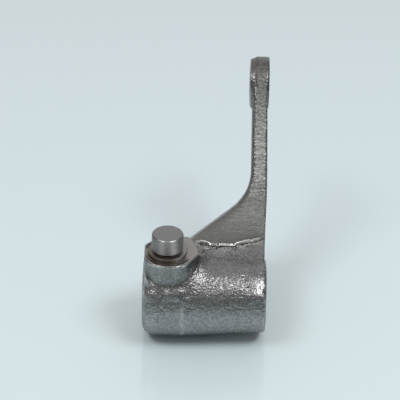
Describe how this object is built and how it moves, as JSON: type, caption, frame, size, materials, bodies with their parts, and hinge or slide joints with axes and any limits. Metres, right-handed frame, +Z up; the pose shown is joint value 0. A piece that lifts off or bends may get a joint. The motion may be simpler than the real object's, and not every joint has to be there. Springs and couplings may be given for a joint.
{
  "type": "rocker arm",
  "caption": "Forged steel rocker arm: a horizontal hub with a bronze bush, a boss with a pressed-in shouldered roller pin, and a long thin leaning arm ending in an eye.",
  "frame": {"origin": "on the axis of the hub's bore, half way along the hub", "axes": "+X along the bore, from the boss's end to the arm's end; +Z up along the roller pin; +Y towards the back, where the arm leans"},
  "size_m": [0.0396, 0.0797, 0.0686],
  "materials": {
    "forged_steel": "rough",
    "ground_steel": "satin",
    "bronze": "satin"
  },
  "bodies": {
    "root": {"lever_forging": "forged_steel", "roller_pin": "ground_steel", "hub_bush": "bronze"}
  },
  "joints": []
}
